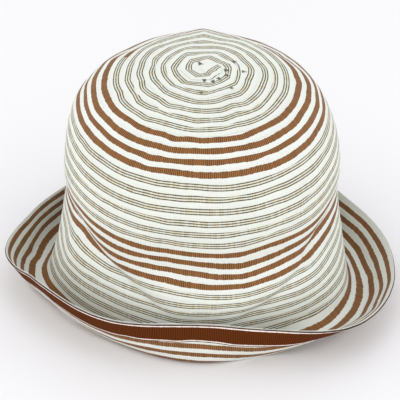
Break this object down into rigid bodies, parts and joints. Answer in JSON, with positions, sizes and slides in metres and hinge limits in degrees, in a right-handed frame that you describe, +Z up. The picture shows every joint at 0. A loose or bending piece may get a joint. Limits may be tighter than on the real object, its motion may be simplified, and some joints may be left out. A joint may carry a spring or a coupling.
{
  "type": "wide brim sun hat",
  "caption": "Sun hat sewn from a coil of striped ribbon: a rounded crown over a brim that rolls under and turns up, with a wing on each side and a ribbon facing along the edge.",
  "frame": {"origin": "on the surface that the hat rests on, under the middle of its outline", "axes": "+X to the wearer's left, which is the right as seen from the front, -Y to the front of the hat, +Z up through the crown"},
  "size_m": [0.2512, 0.2278, 0.152],
  "materials": {
    "lined_ribbon": "cream grosgrain ribbon with fine olive lines",
    "striped_ribbon": "cream grosgrain ribbon with a broad brown stripe",
    "facing_ribbon": "dark brown grosgrain ribbon"
  },
  "bodies": {
    "root": {"crown_tip": "lined_ribbon", "crown_shoulder": "striped_ribbon", "crown_side": "lined_ribbon", "crown_base": "striped_ribbon", "brim_slope": "lined_ribbon", "brim_roll": "striped_ribbon", "brim_turnup": "striped_ribbon", "edge_facing": "facing_ribbon"}
  },
  "joints": []
}
